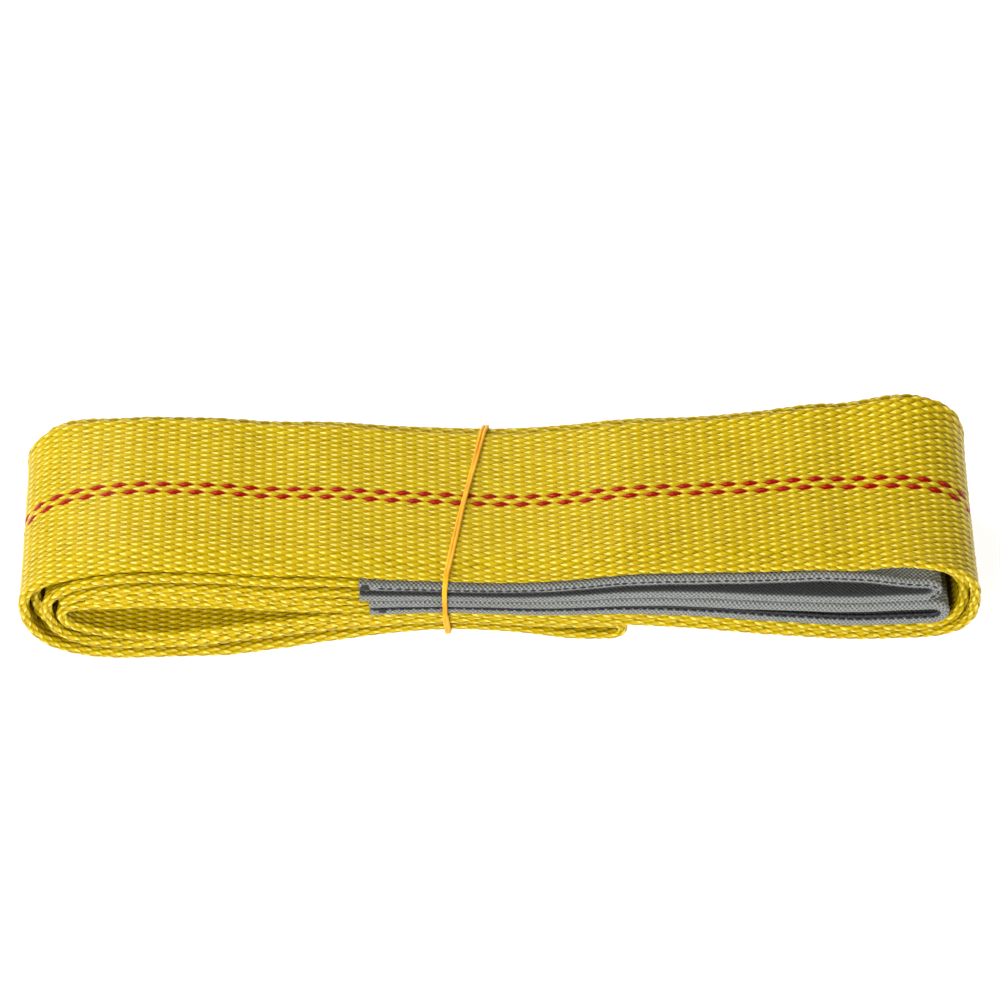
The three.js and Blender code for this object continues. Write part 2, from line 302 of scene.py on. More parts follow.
def whole_path():
    """The web from one cut end to the other, as named stretches."""
    upper_tail = run("upper_tail", LEFT_TURN_X, UPPER_EYE_X, EYE_DRIFT, EYE_END_DRIFT)
    upper_body = run("upper_body", UPPER_EYE_X, LEFT_TURN_X, EYE_END_DRIFT, EYE_DRIFT)
    return_outer = run("return_outer", LEFT_TURN_X, RIGHT_TURN_LOW_X, EYE_DRIFT, RETURN_DRIFT)
    top_outer = run("top_outer", RIGHT_TURN_HIGH_X, LEFT_TURN_X, OUTER_DRIFT, OUTER_DRIFT)
    under_outer = run("under_outer", LEFT_TURN_X, NOSE_TURN_X, OUTER_DRIFT, OUTER_DRIFT)
    under_inner = run("under_inner", NOSE_TURN_X, LEFT_TURN_X, OUTER_DRIFT, COVER_DRIFT)
    top_inner = run("top_inner", LEFT_TURN_X, RIGHT_TURN_HIGH_X, COVER_DRIFT, COVER_END_DRIFT)
    return_inner = run("return_inner", RIGHT_TURN_LOW_X, INNER_TURN_LOW_X, RETURN_DRIFT, EYE_DRIFT)
    lower_body = run("lower_body", INNER_TURN_HIGH_X, LOWER_EYE_X, EYE_DRIFT, EYE_END_DRIFT)
    lower_tail = run("lower_tail", LOWER_EYE_X, LEFT_TURN_X, EYE_END_DRIFT, EYE_DRIFT)
    inner_apex = (LEFT_END + INNER_TURN_INSET, INNER_APEX_HEIGHT)
    upper_eye_apex = between(upper_tail[-1], upper_body[0], RIGHT_END - UPPER_EYE_INSET)
    lower_eye_apex = between(lower_body[-1], lower_tail[0], RIGHT_END - LOWER_EYE_INSET)
    nose_apex = between(under_outer[-1], under_inner[0], NOSE_X - HALF)
    outer_left = left_apex(0)
    return [
        ("upper_tail_end", tail_end(upper_tail[0], UPPER_TAIL_X, UPPER_TURN_LAYER + 1)[::-1]),
        ("upper_tail", upper_tail),
        ("upper_eye_turn", turn(upper_tail[-1], upper_eye_apex, upper_body[0])),
        ("upper_body", upper_body),
        ("upper_left_turn",
         turn(upper_body[-1], left_apex(UPPER_TURN_LAYER), return_outer[0], ROUND_TURN, LOW_TURN)),
        ("return_outer", return_outer),
        ("outer_right_turn",
         turn(return_outer[-1], right_apex(0), top_outer[0], SQUARE_TURN, SHOULDER_TURN)),
        ("top_outer", top_outer),
        ("outer_left_turn", turn(top_outer[-1], outer_left, under_outer[0], ROUND_TURN, LOW_TURN)),
        ("under_outer", under_outer),
        ("nose_turn", turn(under_outer[-1], nose_apex, under_inner[0])),
        ("under_inner", under_inner),
        ("cover_left_turn", turn(under_inner[-1], left_apex(1), top_inner[0], LOW_TURN, ROUND_TURN)),
        ("top_inner", top_inner),
        ("cover_right_turn",
         turn(top_inner[-1], right_apex(1), return_inner[0], SHOULDER_TURN, SQUARE_TURN)),
        ("return_inner", return_inner),
        ("lower_left_turn", turn(return_inner[-1], inner_apex, lower_body[0], INNER_TURN, LOW_TURN)),
        ("lower_body", lower_body),
        ("lower_eye_turn", turn(lower_body[-1], lower_eye_apex, lower_tail[0])),
        ("lower_tail", lower_tail),
        ("lower_tail_end", tail_end(lower_tail[-1], LOWER_TAIL_X, UPPER_TURN_LAYER + 2)),
    ]


class Route:
    """The web's centre line by length along it, with the length at which each named stretch starts."""

    def __init__(self, stretches):
        points = np.concatenate([rows for _, rows in stretches])
        steps = np.hypot(np.diff(points[:, 0]), np.diff(points[:, 1]))
        length = np.concatenate([[0.0], np.cumsum(steps)])
        self.starts, self.ends, first = {}, {}, 0
        for name, rows in stretches:
            self.starts[name] = length[first]
            first += len(rows)
            self.ends[name] = length[first - 1]
        keep = np.concatenate([[True], steps > SAME_PLACE])
        self.length = length[-1]
        self.s = np.arange(0.0, self.length, PATH_STEP)
        reach = round(3 * PATH_SMOOTHING / PATH_STEP)
        kernel = np.exp(-0.5 * (np.arange(-reach, reach + 1) * PATH_STEP / PATH_SMOOTHING) ** 2)
        kernel /= kernel.sum()
        self.values = []
        for column in range(3):
            value = np.interp(self.s, length[keep], points[keep, column])
            # Straight leads at both ends keep the smoothing from shortening the path
            before = 2 * value[0] - value[reach:0:-1]
            after = 2 * value[-1] - value[-2:-reach - 2:-1]
            self.values.append(np.convolve(np.concatenate([before, value, after]), kernel, "valid"))
        dx, dz = np.gradient(self.values[0]), np.gradient(self.values[1])
        size = np.hypot(dx, dz)
        self.heading = (dx / size, dz / size)

    def at(self, s):
        """x, z, drift, and the unit vector to face A, which is the outside of the roll."""
        x, z, drift = (np.interp(s, self.s, value) for value in self.values)
        tx, tz = (np.interp(s, self.s, value) for value in self.heading)
        size = np.hypot(tx, tz)
        return x, z, drift, tz / size, -tx / size


route = Route(whole_path())

# The part's source moves its model so that its box stands centred on the floor
web_low, web_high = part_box("sling_web")
SHIFT_Y = (web_low.y + web_high.y) / 2 / MM - (COVER_DRIFT + EYE_DRIFT) / 2

# The rubber band draws the edges of the bundle together
PINCH_REACH = 24.0
PINCH_SHARE = 0.10
EDGE_LIMIT = 1.15
SHARE_LIMIT = 1.1

# At the right end the far side is higher than the near one, and its corners are squarer
FAR_LIFT = 6.0
FAR_LIFT_FROM = 44.0
FAR_LIFT_OVER = 62.0
FAR_LIFT_HEIGHT = 30.0
CORNER_LIFT = 6.5
CORNER_FROM = 88.0
CORNER_OVER = 30.0
LEFT_CORNER_LIFT = 2.6
LEFT_CORNER_FROM = 94.0
LEFT_CORNER_OVER = 20.0

# The near edge of the top layer hangs over the layer recessed under it
NEAR_DROOP = 1.6
UNDER_RISE = 1.4
DROOP_RAMP = 16.0
DROOP_BEYOND = 30.0
DROOP_FROM = 18.0
DROOP_OVER = 6.5

# The near edges of the lowest layers sag where the bundle is lifted by its waist
NEAR_SAG = 2.0
SAG_DEPTH = 7.5
SAG_LEFT = -100.0
SAG_LEFT_OVER = 30.0
SAG_RIGHT = 34.0
SAG_RIGHT_OVER = 20.0


def share_across(y, side):
    """0 at one edge of the web and 1 at the other: the far one where side is 1, the near one at -1."""
    return np.clip((side * y / (WEB_WIDTH / 2) + 1) / 2, 0, SHARE_LIMIT)


def settle(x, y, z):
    """Height of a point of the even roll once it lies in the bundle.

    Under the rubber band the edges are drawn towards the middle height. At the right end the far side is
    lifted, and the near edges of the lowest layers sag as far as the floor lets them."""
    layer = layers_at(x)
    middle = (layer["under_outer"] + layer["top_outer"]) / 2
    pinch = np.exp(-(((x - WAIST_X) / PINCH_REACH) ** 2))
    edge = np.clip(np.abs(y) / (WEB_WIDTH / 2), 0, EDGE_LIMIT) ** 3
    far, near = share_across(y, 1), share_across(y, -1)
    lift = FAR_LIFT * smooth((x - FAR_LIFT_FROM) / FAR_LIFT_OVER) * far**1.5
    lift += CORNER_LIFT * smooth((x - CORNER_FROM) / CORNER_OVER) * far**3
    lift += LEFT_CORNER_LIFT * smooth((-x - LEFT_CORNER_FROM) / LEFT_CORNER_OVER) * far**3
    lift = lift * np.clip(z / FAR_LIFT_HEIGHT, 0, 1)
    sag = NEAR_SAG * near**2 * smooth((x - SAG_LEFT) / SAG_LEFT_OVER)
    sag = sag * smooth((SAG_RIGHT - x) / SAG_RIGHT_OVER) * smooth(1 - (z - layer["under_outer"]) / SAG_DEPTH)
    clear = layer["under_outer"] - thickness_at(x) / 2
    sag = np.minimum(sag, np.maximum(clear, 0))
    return middle + (z - middle) * (1 - PINCH_SHARE * pinch * edge) + lift - sag


def to_metres(x, y, z):
    return np.stack([x, y + SHIFT_Y, z], axis=-1).reshape(-1, 3) * MM


# Every float's own small difference in height
float_rng = np.random.default_rng(11)
float_jitter = float_rng.normal(0.0, FLOAT_JITTER, (ALL_ROWS, JITTER_LAPS))


def weave(s, w):
    """Height of the weave at length s and row coordinate w, from 0 in the gaps to 1 on a crown."""
    best = np.zeros(np.broadcast(s, w).shape)
    for shift in (-1, 0, 1):
        row = np.floor(w) + shift
        across = w - (row + 0.5)
        phase = s / FLOAT_PERIOD + 0.5 * np.mod(row, 2) + FLOAT_SKEW * across
        lap = np.floor(phase)
        away = np.abs(phase - lap - 0.5) / FLOAT_REACH
        rise = np.clip(1 - away**FLOAT_SQUARENESS, 0, 1)
        width = np.maximum(DIVE_WIDTH, FLOAT_WIDTH * (1 - away**FLOAT_TAPER))
        dome = np.sqrt(np.clip(1 - (across / width) ** 2, 0, 1))
        own = float_jitter[np.mod(row, ALL_ROWS).astype(int), np.mod(lap, JITTER_LAPS).astype(int)]
        lift = FLOAT_LIFT * rise * (1 + own) * (EDGE_LIFT + (1 - EDGE_LIFT) * dome)
        height = lift + FLOAT_DOME * dome * (DIVE_DOME + (1 - DIVE_DOME) * rise)
        best = np.maximum(best, np.where(dome > 0, height, 0.0))
    return best / WEAVE_DEPTH


def outline(w, half):
    """Cross-section of the web at row coordinate w: across, height, and the normal to them."""
    stretches = [w < FAR_RIM, w < BACK_FACE, w < NEAR_RIM]
    far = (w - FAR_RIM) / RIM_ROWS * np.pi
    near = (w - NEAR_RIM) / RIM_ROWS * np.pi
    normal_across = np.select(stretches, [0.0, np.sin(far), 0.0], -np.sin(near))
    normal_height = np.select(stretches, [1.0, np.cos(far), -1.0], -np.cos(near))
    flat = np.select(stretches, [2 * w / FACE_ROWS - 1, 1.0, 1 - 2 * (w - BACK_FACE) / FACE_ROWS], -1.0)
    across = flat * (WEB_WIDTH / 2 - half) + normal_across * half
    return across, normal_height * half, normal_across, normal_height


def rows_around(fine):
    """Row coordinates once round the web, fine in the given spans of rows, and 1 where they are fine."""

    def is_fine(row):
        return any(low <= row < high for low, high in fine)

    values, weights = [], []
    row = 0
    while row < ALL_ROWS:
        if is_fine(row):
            values += [row + k / COLUMNS_PER_ROW for k in range(COLUMNS_PER_ROW)]
            weights += [1.0] * COLUMNS_PER_ROW
            row += 1
            continue
        values.append(float(row))
        weights.append(0.0)
        row += 1
        for _ in range(COARSE_ROWS - 1):
            if row == ALL_ROWS or is_fine(row):
                break
            row += 1
    return np.array(values), np.array(weights)


def tube_quads(rows, columns):
    """The four points of each face of a tube, and the row and column of the face."""
    i, j = (index.ravel() for index in np.indices((rows - 1, columns)))
    after = (j + 1) % columns
    here, ahead = i * columns, (i + 1) * columns
    return np.stack([here + j, here + after, ahead + after, ahead + j], 1), i, j


def new_mesh(name, points, loops, sizes):
    """A smooth mesh from points in metres, the points round face after face, and the faces' sizes."""
    mesh = bpy.data.meshes.new(name)
    mesh.vertices.add(len(points))
    mesh.vertices.foreach_set("co", points.astype(np.float32).ravel())
    mesh.loops.add(len(loops))
    mesh.loops.foreach_set("vertex_index", loops.astype(np.int32))
    mesh.polygons.add(len(sizes))
    starts = np.concatenate([[0], np.cumsum(sizes)[:-1]])
    mesh.polygons.foreach_set("loop_start", starts.astype(np.int32))
    mesh.polygons.foreach_set("use_smooth", np.ones(len(sizes), bool))
    return mesh


def tube_mesh(name, points, columns, uv, attributes, caps=(False, False)):
    """A tube of rings with their weave UV, point attributes, and a cap on the wanted ends."""
    rows = len(points) // columns
    quads, i, j = tube_quads(rows, columns)
    loops = quads.ravel()
    sizes = np.full(len(quads), 4)
    u, v, v_end = uv
    v_after = np.append(v, v_end)[j + 1]
    loop_u = np.stack([u[i], u[i], u[i + 1], u[i + 1]], 1).ravel()
    loop_v = np.stack([v[j], v_after, v_after, v[j]], 1).ravel()
    ring = np.arange(columns)
    for wanted, row, order in zip(caps, (0, rows - 1), (ring[::-1], ring)):
        if wanted:
            loops = np.append(loops, row * columns + order)
            sizes = np.append(sizes, columns)
            loop_u = np.append(loop_u, np.full(columns, u[row]))
            loop_v = np.append(loop_v, v[order])
    mesh = new_mesh(name, points, loops, sizes)
    layer = mesh.uv_layers.new(name="weave")
    layer.data.foreach_set("uv", np.stack([loop_u, loop_v], 1).astype(np.float32).ravel())
    for key, value in attributes.items():
        attribute = mesh.attributes.new(key, "FLOAT", "POINT")
        attribute.data.foreach_set("value", value.astype(np.float32).ravel())
    return mesh


def place(name, mesh, material, node):
    """Puts a piece in the scene, in place of the node that it dresses."""
    mesh.update(calc_edges=True)
    mesh.validate()
    mesh.materials.append(material)
    piece = bpy.data.objects.new(name, mesh)
    bpy.context.scene.collection.objects.link(piece)
    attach(piece, "root")
    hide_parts(node)


def beside_route(s, across, height):
    """Points of the bundle from their place across the web and their height off its centre line."""
    x, z, drift, nx, nz = (value[:, None] for value in route.at(s))
    px = x + nx * height
    py = drift + across
    return to_metres(px, py, settle(px, py, z + nz * height))


def droop_at(s, x, across):
    """How far a near edge is bent, so that the top layer closes over the layer recessed under it."""
    start, end = route.starts, route.ends
    bends = [
        (NEAR_DROOP, start["top_outer"] - DROOP_BEYOND / 2, end["top_outer"] + DROOP_BEYOND),
        (-UNDER_RISE, start["upper_body"], end["upper_body"] + DROOP_BEYOND),
    ]
    total = 0.0
    for amount, first, last in bends:
        total = total + amount * smooth((s - first) / DROOP_RAMP) * smooth((last - s) / DROOP_RAMP)
    return total * pitch_at(x) / TURN_PITCH * smooth((-across - DROOP_FROM) / DROOP_OVER)


def web_piece(name, s_from, s_to, fine, per_period, caps):
    """One stretch of the web, woven in the given spans of rows."""
    count = max(3, round((s_to - s_from) / FLOAT_PERIOD * per_period) + 1)
    s = np.linspace(s_from, s_to, count)
    w, woven = rows_around(fine)
    x = route.at(s)[0][:, None]
    across, height, normal_across, normal_height = outline(w[None, :], thickness_at(x) / 2)
    height = height * (1 + RIM_SWELL * smooth((np.abs(across) - RIM_SWELL_FROM) / RIM_SWELL_OVER))
    crown = weave(s[:, None], w[None, :]) * woven + MEAN_CROWN * (1 - woven)
    proud = CROWN_PROUD - (1 - crown) * WEAVE_DEPTH * thickness_at(x) / WEB_THICKNESS
    across = across + normal_across * proud
    height = height + normal_height * proud - droop_at(s[:, None], x, across)
    mesh = tube_mesh(
        name, beside_route(s, across, height), len(w),
        (s / FLOAT_PERIOD, w, float(ALL_ROWS)), {"crown": crown}, caps)
    place(name, mesh, yellow_web, "sling_web")


class Graph:
    """A material's node tree, with short calls for its nodes."""

    def __init__(self, name):
        self.material = bpy.data.materials.new(name)
        self.material.use_nodes = True
        self.tree = self.material.node_tree
        self.shader = self.tree.nodes["Principled BSDF"]

    def node(self, kind, inputs=(), **settings):
        made = self.tree.nodes.new(kind)
        for key, value in settings.items():
            setattr(made, key, value)
        for key, value in dict(inputs).items():
            self.feed(made.inputs[key], value)
        return made

    def feed(self, socket, value):
        if isinstance(value, bpy.types.NodeSocket):
            self.tree.links.new(value, socket)
        else:
            socket.default_value = value

    def math(self, operation, *values):
        made = self.node("ShaderNodeMath", operation=operation)
        for socket, value in zip(made.inputs, values):
            self.feed(socket, value)
        return made.outputs[0]

    def scale(self, value, low, high, to_low=0.0, to_high=1.0, kind="LINEAR"):
        inputs = {"Value": value, "From Min": low, "From Max": high, "To Min": to_low, "To Max": to_high}
        return self.node("ShaderNodeMapRange", inputs, interpolation_type=kind).outputs[0]

    def mix(self, factor, first, second):
        made = self.node("ShaderNodeMix", data_type="RGBA")
        self.feed(made.inputs[0], factor)
        self.feed(made.inputs[6], first)
        self.feed(made.inputs[7], second)
        return made.outputs[2]

    def attribute(self, name):
        return self.node("ShaderNodeAttribute", attribute_name=name).outputs["Fac"]

    def weave_uv(self):
        uv = self.node("ShaderNodeUVMap", uv_map="weave").outputs[0]
        parts = self.node("ShaderNodeSeparateXYZ", {"Vector": uv})
        return parts.outputs[0], parts.outputs[1]

    def object_place(self):
        return self.node("ShaderNodeTexCoord").outputs["Object"]

    def stretched(self, u, v, along, around):
        """A place on the weave with its two coordinates stretched."""
        parts = {"X": self.math("MULTIPLY", u, along), "Y": self.math("MULTIPLY", v, around)}
        return self.node("ShaderNodeCombineXYZ", parts).outputs[0]

    def noise(self, vector, scale, detail=2.0, roughness=0.5):
        inputs = {"Vector": vector, "Scale": scale, "Detail": detail, "Roughness": roughness}
        return self.node("ShaderNodeTexNoise", inputs).outputs["Fac"]

    def bump(self, height, distance):
        made = self.node("ShaderNodeBump", {"Height": height, "Distance": distance})
        self.feed(self.shader.inputs["Normal"], made.outputs[0])

    def set(self, **values):
        for key, value in values.items():
            self.feed(self.shader.inputs[key.replace("_", " ")], value)


def srgb(red, green, blue):
    """A colour as seen on screen, 0 to 255, as the linear one that a shader takes."""
    channels = [c / 255 for c in (red, green, blue)]
    return (*(c / 12.92 if c <= 0.04045 else ((c + 0.055) / 1.055) ** 2.4 for c in channels), 1.0)


def row_mask(g, u, v, row):
    """1 on the floats of one row of the web."""
    across = g.math("SUBTRACT", v, row + 0.5)
    phase = g.math("MULTIPLY_ADD", across, FLOAT_SKEW, g.math("ADD", u, 0.5 * (row % 2)))
    away = g.math("ABSOLUTE", g.math("SUBTRACT", g.math("FRACT", phase), 0.5))
    taper = g.math("POWER", g.math("DIVIDE", away, FLOAT_REACH), FLOAT_TAPER)
    width = g.math("MULTIPLY", g.math("SUBTRACT", 1.0, taper), FLOAT_WIDTH)
    return g.math("LESS_THAN", g.math("ABSOLUTE", across), width)


def tracer_mask(g, u, v):
    """1 on the red floats, which show on both faces."""
    mask = 0.0
    for row in (*TRACER_ROWS, *(NEAR_RIM - 1 - row for row in TRACER_ROWS)):
        mask = g.math("MAXIMUM", mask, row_mask(g, u, v, row))
    return mask


# Painted highlight of the filaments, on one flank of each float: its middle and its size within a float, its
# slant, and its strength
PAINTED_HIGHLIGHT_PHASE = 0.68
PAINTED_HIGHLIGHT_LENGTH = 0.19
PAINTED_HIGHLIGHT_WIDTH = 0.42
PAINTED_HIGHLIGHT_SLANT = 1.9
PAINTED_HIGHLIGHT_YELLOW = 0.6
PAINTED_HIGHLIGHT_RED = 0.4


def painted_highlight_mask(g, phase, v, filaments):
    """1 where a highlight is painted, along one flank of each float."""
    along = g.math("SUBTRACT", g.math("FRACT", phase), PAINTED_HIGHLIGHT_PHASE)
    across = g.math("SUBTRACT", g.math("FRACT", v), 0.5)
    across = g.math("SUBTRACT", across, g.math("MULTIPLY", along, PAINTED_HIGHLIGHT_SLANT))
    along_share = g.math("POWER", g.math("DIVIDE", along, PAINTED_HIGHLIGHT_LENGTH), 2.0)
    across_share = g.math("POWER", g.math("DIVIDE", across, PAINTED_HIGHLIGHT_WIDTH), 2.0)
    painted_highlight = g.scale(g.math("ADD", along_share, across_share), 1.0, 0.3, kind="SMOOTHSTEP")
    return g.math("MULTIPLY", painted_highlight, g.scale(filaments, 0.3, 0.7, 1.0, 0.55))


def web_material():
    g = Graph("woven_yellow_web")
    u, v = g.weave_uv()
    crown = g.attribute("crown")
    row = g.math("FLOOR", v)
    phase = g.math("ADD", u, g.math("MULTIPLY", g.math("MODULO", row, 2.0), 0.5))
    own_float = g.node("ShaderNodeCombineXYZ", {"X": g.math("FLOOR", phase), "Y": row}).outputs[0]
    tint = g.node("ShaderNodeTexWhiteNoise", {"Vector": own_float}, noise_dimensions="2D").outputs["Value"]
    filaments = g.noise(g.stretched(phase, v, 2.4, 9.0), 1.6, 3.0, 0.6)
    patches = g.noise(g.stretched(u, v, 0.35, 0.16), 1.0)
    # Painted shade: the yellow darkens from the crowns of the floats down into the gaps between them
    yellow = g.mix(g.scale(crown, 0.30, 0.95, kind="SMOOTHSTEP"), srgb(96, 74, 0), srgb(192, 164, 0))
    yellow = g.mix(g.math("MULTIPLY", tint, 0.3), yellow, srgb(214, 184, 0))
    yellow = g.mix(g.scale(filaments, 0.35, 0.75, 0.0, 0.4), yellow, srgb(156, 124, 0))
    yellow = g.mix(g.scale(patches, 0.35, 0.7, 0.0, 0.25), yellow, srgb(176, 144, 0))
    red = g.mix(g.scale(filaments, 0.3, 0.7), srgb(160, 5, 0), srgb(92, 0, 0))
    painted_highlight = painted_highlight_mask(g, phase, v, filaments)
    # Painted highlight: a pale dash on one flank of each float, pale yellow on the yellow yarn and pale
    # orange on the red
    yellow = g.mix(g.math("MULTIPLY", painted_highlight, PAINTED_HIGHLIGHT_YELLOW), yellow, srgb(255, 240, 120))
    red = g.mix(g.math("MULTIPLY", painted_highlight, PAINTED_HIGHLIGHT_RED), red, srgb(240, 90, 40))
    tracer = tracer_mask(g, u, v)
    g.set(
        Base_Color=g.mix(tracer, yellow, red), Roughness=0.24,
        Specular_IOR_Level=g.scale(crown, 0.5, 0.95, 0.08, 0.5),
        Specular_Tint=g.mix(tracer, srgb(255, 246, 150), srgb(255, 110, 50)))
    g.bump(filaments, 0.00008)
    return g.material


FABRIC_PITCH = 1.15


def fabric_material():
    g = Graph("grey_plain_weave")
    u, v = g.weave_uv()
    warp, weft = (g.math("SINE", g.math("MULTIPLY", way, 2 * math.pi / FABRIC_PITCH)) for way in (u, v))
    check = g.math("MULTIPLY", warp, weft)
    slubs = g.noise(g.stretched(u, v, 0.5, 3.0), 1.0, 3.0, 0.6)
    mottle = g.noise(g.stretched(u, v, 1.0, 1.0), 1.9)
    base = g.mix(g.scale(check, -0.8, 0.8), srgb(76, 77, 74), srgb(162, 164, 159))
    base = g.mix(g.scale(slubs, 0.35, 0.75, 0.0, 0.4), base, srgb(80, 81, 78))
    base = g.mix(g.scale(mottle, 0.4, 0.7, 0.0, 0.35), base, srgb(168, 170, 164))
    # Painted shade: the fabric is darkened where the legs of an eye face each other, in the shadow inside the
    # eye
    base = g.mix(g.math("MULTIPLY", g.attribute("inside"), 0.85), base, srgb(22, 22, 21))
    g.set(Base_Color=base, Roughness=0.85, Specular_IOR_Level=0.25, Sheen_Weight=0.15, Sheen_Roughness=0.5)
    # The bright threads lie a little deeper than the dark ones
    depth = g.math("ADD", check, g.math("MULTIPLY", slubs, 1.2))
    g.bump(g.math("MULTIPLY", depth, -1.0), 0.0003)
    return g.material


def thread_material():
    g = Graph("black_sewing_thread")
    twist = g.noise(g.object_place(), 2600.0)
    colour = g.mix(twist, srgb(12, 12, 14), srgb(46, 46, 50))
    g.set(Base_Color=colour, Roughness=0.6, Specular_IOR_Level=0.4)
    g.bump(twist, 0.00005)
    return g.material


def rubber_material():
    g = Graph("amber_rubber")
    cloud = g.noise(g.object_place(), 160.0, 3.0)
    grain = g.noise(g.object_place(), 1800.0)
    colour = g.mix(g.scale(cloud, 0.3, 0.7), srgb(206, 138, 2), srgb(226, 168, 30))
    g.set(Base_Color=colour, Roughness=0.45, Specular_IOR_Level=0.35, Specular_Tint=srgb(255, 226, 150))
    g.bump(grain, 0.00003)
    return g.material


yellow_web = web_material()
grey_fabric = fabric_material()
black_thread = thread_material()
amber_rubber = rubber_material()

# Spans of rows that are woven: the two rims with the rows beside them, and whole faces where they show
RIMS = [(0, 3), (FACE_ROWS - 3, BACK_FACE + 3), (NEAR_RIM - 3, ALL_ROWS)]
FACE_A = [(0, BACK_FACE + 3), (NEAR_RIM - 3, ALL_ROWS)]
FAR_STRIP = [(0, 3), (FACE_ROWS - 3, BACK_FACE + 8), (NEAR_RIM - 3, ALL_ROWS)]
HIDDEN = []

# Stations along the web for each period of its weave
FINE = 10
MEDIUM = 9
ROUGH = 2

# Places where one piece of the web ends and the next starts
SLEEVE_OVERLAP = 4.0
RIGHT_WRAP_FROM_X = NOSE_X - 6.0
UNDER_BAND_X = -8.0
HOLLOW_FACE_END_X = HOLLOW_END_X + 6.0


def length_at(name, x):
    """Length along the web at which a named run passes a place along the bundle."""
    inside = (route.s >= route.starts[name]) & (route.s <= route.ends[name])
    nearest = np.argmin(np.abs(route.values[0][inside] - x))
    return route.s[inside][nearest]


def build_web():
    """The web in pieces that follow each other, each woven where it can be seen."""
    in_upper_sleeve = UPPER_SLEEVE_X + SLEEVE_OVERLAP
    in_lower_sleeve = LOWER_SLEEVE_X + SLEEVE_OVERLAP
    nose_tip = (route.starts["nose_turn"] + route.ends["nose_turn"]) / 2
    pieces = [
        ("web_upper_tail", length_at("upper_tail", in_upper_sleeve), RIMS, FINE),
        ("web_in_upper_sleeve", length_at("upper_body", in_upper_sleeve), HIDDEN, ROUGH),
        ("web_upper_body", length_at("return_outer", RIGHT_WRAP_FROM_X), RIMS, FINE),
        ("web_right_wrap", length_at("top_outer", UNDER_BAND_X), FACE_A, FINE),
        ("web_left_wrap", nose_tip, FACE_A, MEDIUM),
        ("web_cover", length_at("return_inner", HOLLOW_FACE_END_X), FAR_STRIP, FINE),
        ("web_hollow", length_at("lower_body", HOLLOW_FACE_END_X), FACE_A, MEDIUM),
        ("web_lower_body", length_at("lower_body", in_lower_sleeve), RIMS, FINE),
        ("web_in_lower_sleeve", length_at("lower_tail", in_lower_sleeve), HIDDEN, ROUGH),
        ("web_lower_tail", route.length - PATH_STEP, RIMS, FINE),
    ]
    s_from = 0.0
    for k, (name, s_to, fine, per_period) in enumerate(pieces):
        # The sleeve starts close to the hollow, so the two cuts between them may be the other way round
        low, high = sorted((s_from, s_to))
        web_piece(name, low, high, fine, per_period, caps=(k == 0, k == len(pieces) - 1))
        s_from = s_to


build_web()

# Wear sleeves: a flattened tube of plain-weave fabric, lapped and sewn along its near edge
SLEEVE_WIDTH = 51.2
SLEEVE_STEP = 0.7
RIM_SQUARENESS = 0.72
RIM_FULLNESS = 0.12
RIM_POINTS = 15
FACE_B_POINTS = 10
FACE_A_POINTS = 24
LIP_IN = 4.0
# Painted shade inside the eye: where it starts, and how fast it grows as the fabric turns to face B
EYE_SHADE_FROM = 0.3
EYE_SHADE_OVER = 0.5
RIPPLE_HEIGHT = 0.10
RIPPLE_WAVES = 5

# Lap of the seam: how far it stands out, how soft its edge is, and where it ends on the rim and the face
SEAM_STEP = 0.28
SEAM_EDGE = 0.16
LAP_TOP = 0.98
LAP_ON_FACE = 0.6
UPPER_SEAM = 0.25
LOWER_SEAM = -0.55


def ripple(s, v, seed):
    """Gentle unevenness of the fabric, from a few long waves."""
    rng = np.random.default_rng(seed)
    total = 0.0
    for _ in range(RIPPLE_WAVES):
        run_length = rng.uniform(9.0, 40.0)
        cross_length = rng.uniform(9.0, 60.0)
        start = rng.uniform(0, 2 * np.pi)
        total = total + np.sin(2 * np.pi * (s / run_length + v / cross_length) + start)
    return RIPPLE_HEIGHT * total / RIPPLE_WAVES


def squared(value, squareness):
    """A sine or cosine bent so that a circle becomes squarer."""
    return np.sign(value) * np.abs(value) ** squareness


